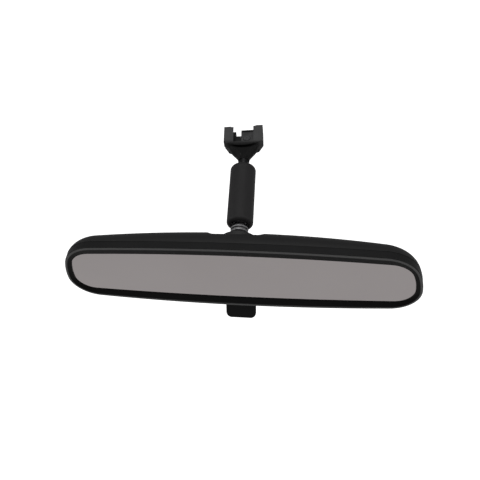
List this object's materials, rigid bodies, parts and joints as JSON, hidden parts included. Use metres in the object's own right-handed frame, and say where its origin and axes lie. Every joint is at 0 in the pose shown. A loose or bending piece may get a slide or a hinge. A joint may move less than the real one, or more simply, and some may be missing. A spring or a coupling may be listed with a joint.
{
  "type": "interior rearview mirror",
  "caption": "Interior rearview mirror with a wide tipping prism glass in a domed black case, a day and night tab, and a double-ball arm ending in a channel bracket.",
  "frame": {"origin": "middle of the bracket's mating face, which lies on the windscreen button's plate", "axes": "+Z out of the mating face, X along the glass, the glass faces -Y"},
  "size_m": [0.2489, 0.128, 0.0826],
  "materials": {
    "bracket_metal": "black coated die casting, fine texture",
    "plated_steel": "zinc plated",
    "spring_steel": "oiled spring steel",
    "black_stud": "black oxide",
    "stud_metal": "turned steel",
    "liner_plastic": "natural acetal",
    "cup_metal": "pressed steel",
    "plate_metal": "zinc plated sheet",
    "arm_paint": "satin black powder coat",
    "case_plastic": "fine grain, satin",
    "rim_plastic": "satin, slightly smoother than the case",
    "lever_plastic": "satin",
    "mirror_glass": "polished glass over silvering",
    "foam": "closed-cell foam"
  },
  "bodies": {
    "bracket": {"windshield_bracket": "bracket_metal", "bracket_set_screw": "plated_steel", "bracket_retaining_clip": "spring_steel", "upper_ball_stud": "black_stud"},
    "upper_liner": {"upper_bearing_liner": "liner_plastic"},
    "upper_cup": {"upper_thrust_cup": "cup_metal"},
    "arm": {"arm_tube": "arm_paint", "arm_spring": "spring_steel"},
    "lower_cup": {"lower_thrust_cup": "cup_metal"},
    "lower_liner": {"lower_bearing_liner": "liner_plastic"},
    "pivot": {"lower_ball_stud": "stud_metal", "stud_nut": "plated_steel", "pivot_dome": "case_plastic", "pivot_plate": "plate_metal", "dome_screws": "plated_steel", "toggle_spring": "spring_steel", "toggle_spring_rivets": "plated_steel"},
    "head": {"rear_case": "case_plastic", "bezel_ring": "rim_plastic", "prism_glass": "mirror_glass", "glass_backing_pad": "foam", "pivot_pin": "plated_steel", "pivot_pin_clips": "spring_steel", "lever_pin": "plated_steel"},
    "lever": {"day_night_lever": "lever_plastic"}
  },
  "joints": [
    {"name": "upper_ball_pitch", "type": "hinge", "parent": "bracket", "child": "upper_liner", "pos_m": [0.00254, -0.03262, -0.00935], "axis": [1, 0, 0], "range_deg": [-17, 17]},
    {"name": "upper_ball_yaw", "type": "hinge", "parent": "upper_liner", "child": "upper_cup", "pos_m": [0.00254, -0.03262, -0.00935], "axis": [0, 0, 1], "range_deg": [-17, 17]},
    {"name": "upper_ball_spin", "type": "hinge", "parent": "upper_cup", "child": "arm", "pos_m": [0.00254, -0.03262, -0.00935], "axis": [-0.0396, 0.9849, 0.1685], "continuous": true},
    {"name": "lower_ball_spin", "type": "hinge", "parent": "arm", "child": "lower_cup", "pos_m": [0.00404, -0.07005, -0.01576], "axis": [-0.0396, 0.9849, 0.1685], "continuous": true},
    {"name": "lower_ball_yaw", "type": "hinge", "parent": "lower_cup", "child": "lower_liner", "pos_m": [0.00404, -0.07005, -0.01576], "axis": [0, 0, 1], "range_deg": [-12, 12]},
    {"name": "lower_ball_pitch", "type": "hinge", "parent": "lower_liner", "child": "pivot", "pos_m": [0.00404, -0.07005, -0.01576], "axis": [1, 0, 0], "range_deg": [-12, 12]},
    {"name": "night_tilt", "type": "hinge", "parent": "pivot", "child": "head", "pos_m": [0.00526, -0.10137, -0.01618], "axis": [1, 0, 0], "range_deg": [0, 4]},
    {"name": "lever_flip", "type": "hinge", "parent": "head", "child": "lever", "pos_m": [0.00426, -0.10037, -0.05638], "axis": [1, 0, 0], "range_deg": [0, 36]}
  ],
  "couplings": [
    {"joint": "lever_flip", "follows": "night_tilt", "ratio": 9}
  ]
}
